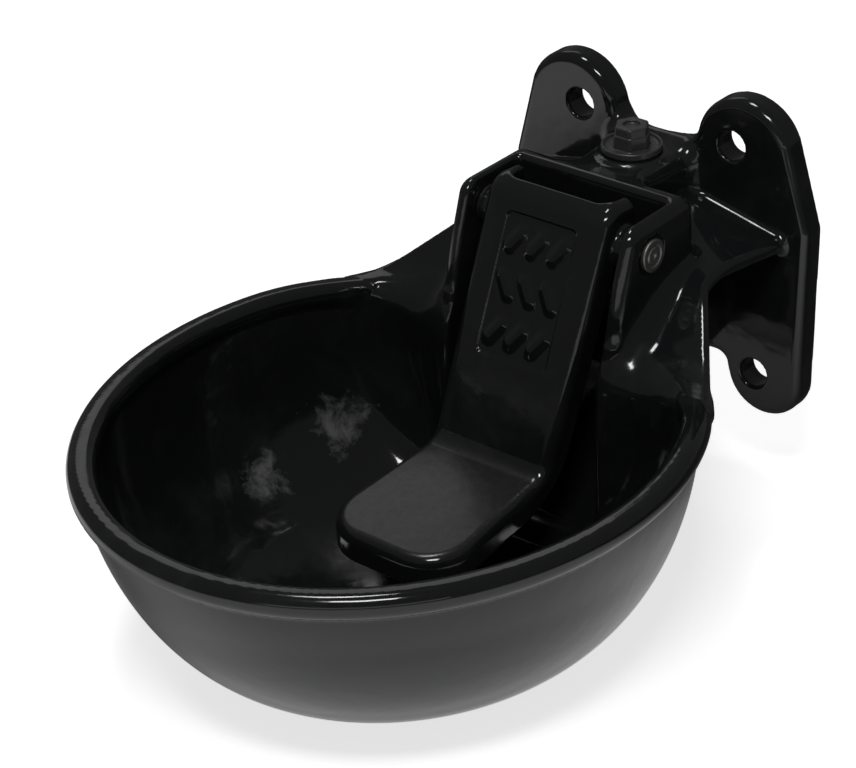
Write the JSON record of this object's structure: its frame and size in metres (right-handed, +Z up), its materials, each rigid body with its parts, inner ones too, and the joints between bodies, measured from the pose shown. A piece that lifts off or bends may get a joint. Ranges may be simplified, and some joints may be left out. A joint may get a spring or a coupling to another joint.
{
  "type": "livestock drinking bowl",
  "caption": "Enamelled cast-iron drinking bowl for cattle and horses: rolled rim, hinged push paddle with a sprung water valve, water neck and a lugged back plate for a wall or pipe.",
  "frame": {"origin": "on the wall face, midway between the two upper bolt holes", "axes": "+X to the right as one faces the wall, +Y into the wall, +Z up; the bowl stands out along -Y"},
  "size_m": [0.25, 0.3285, 0.1873],
  "materials": {
    "enamel": "gloss black enamel",
    "steel": "zinc-plated steel, turned",
    "stainless": "stainless steel",
    "brass": "machined brass",
    "rubber": "matt black rubber",
    "white_plastic": "natural acetal",
    "black_plastic": "moulded black plastic, slightly glossy"
  },
  "bodies": {
    "bowl": {"bowl_casting": "enamel", "pivot_pin": "steel", "pin_washer": "steel", "pin_clip": "steel", "valve_body": "brass", "valve_gasket": "rubber", "valve_nozzle": "white_plastic", "spring_cage": "white_plastic", "strainer": "stainless", "return_spring": "stainless", "plug_gasket": "rubber", "top_plug": "black_plastic"},
    "paddle": {"paddle": "enamel", "paddle_bush_left": "white_plastic", "paddle_bush_right": "white_plastic"},
    "valve_stem": {"valve_stem": "stainless", "stem_button": "white_plastic", "seal_disc": "rubber", "seal_washer": "stainless", "stem_nut": "stainless"}
  },
  "joints": [
    {"name": "paddle_hinge", "type": "hinge", "parent": "bowl", "child": "paddle", "pos_m": [0, -0.078, -0.022], "axis": [1, 0, 0], "range_deg": [0, 8.4], "stiffness_Nm_per_rad": 4.5, "springref_deg": -8.37},
    {"name": "stem_slide", "type": "slide", "parent": "bowl", "child": "valve_stem", "axis": [0, 1, 0], "range_m": [0, 0.0061], "deforming": ["return_spring"]}
  ],
  "couplings": [
    {"joint": "stem_slide", "follows": "paddle_hinge", "m_per_rad": 0.041}
  ]
}
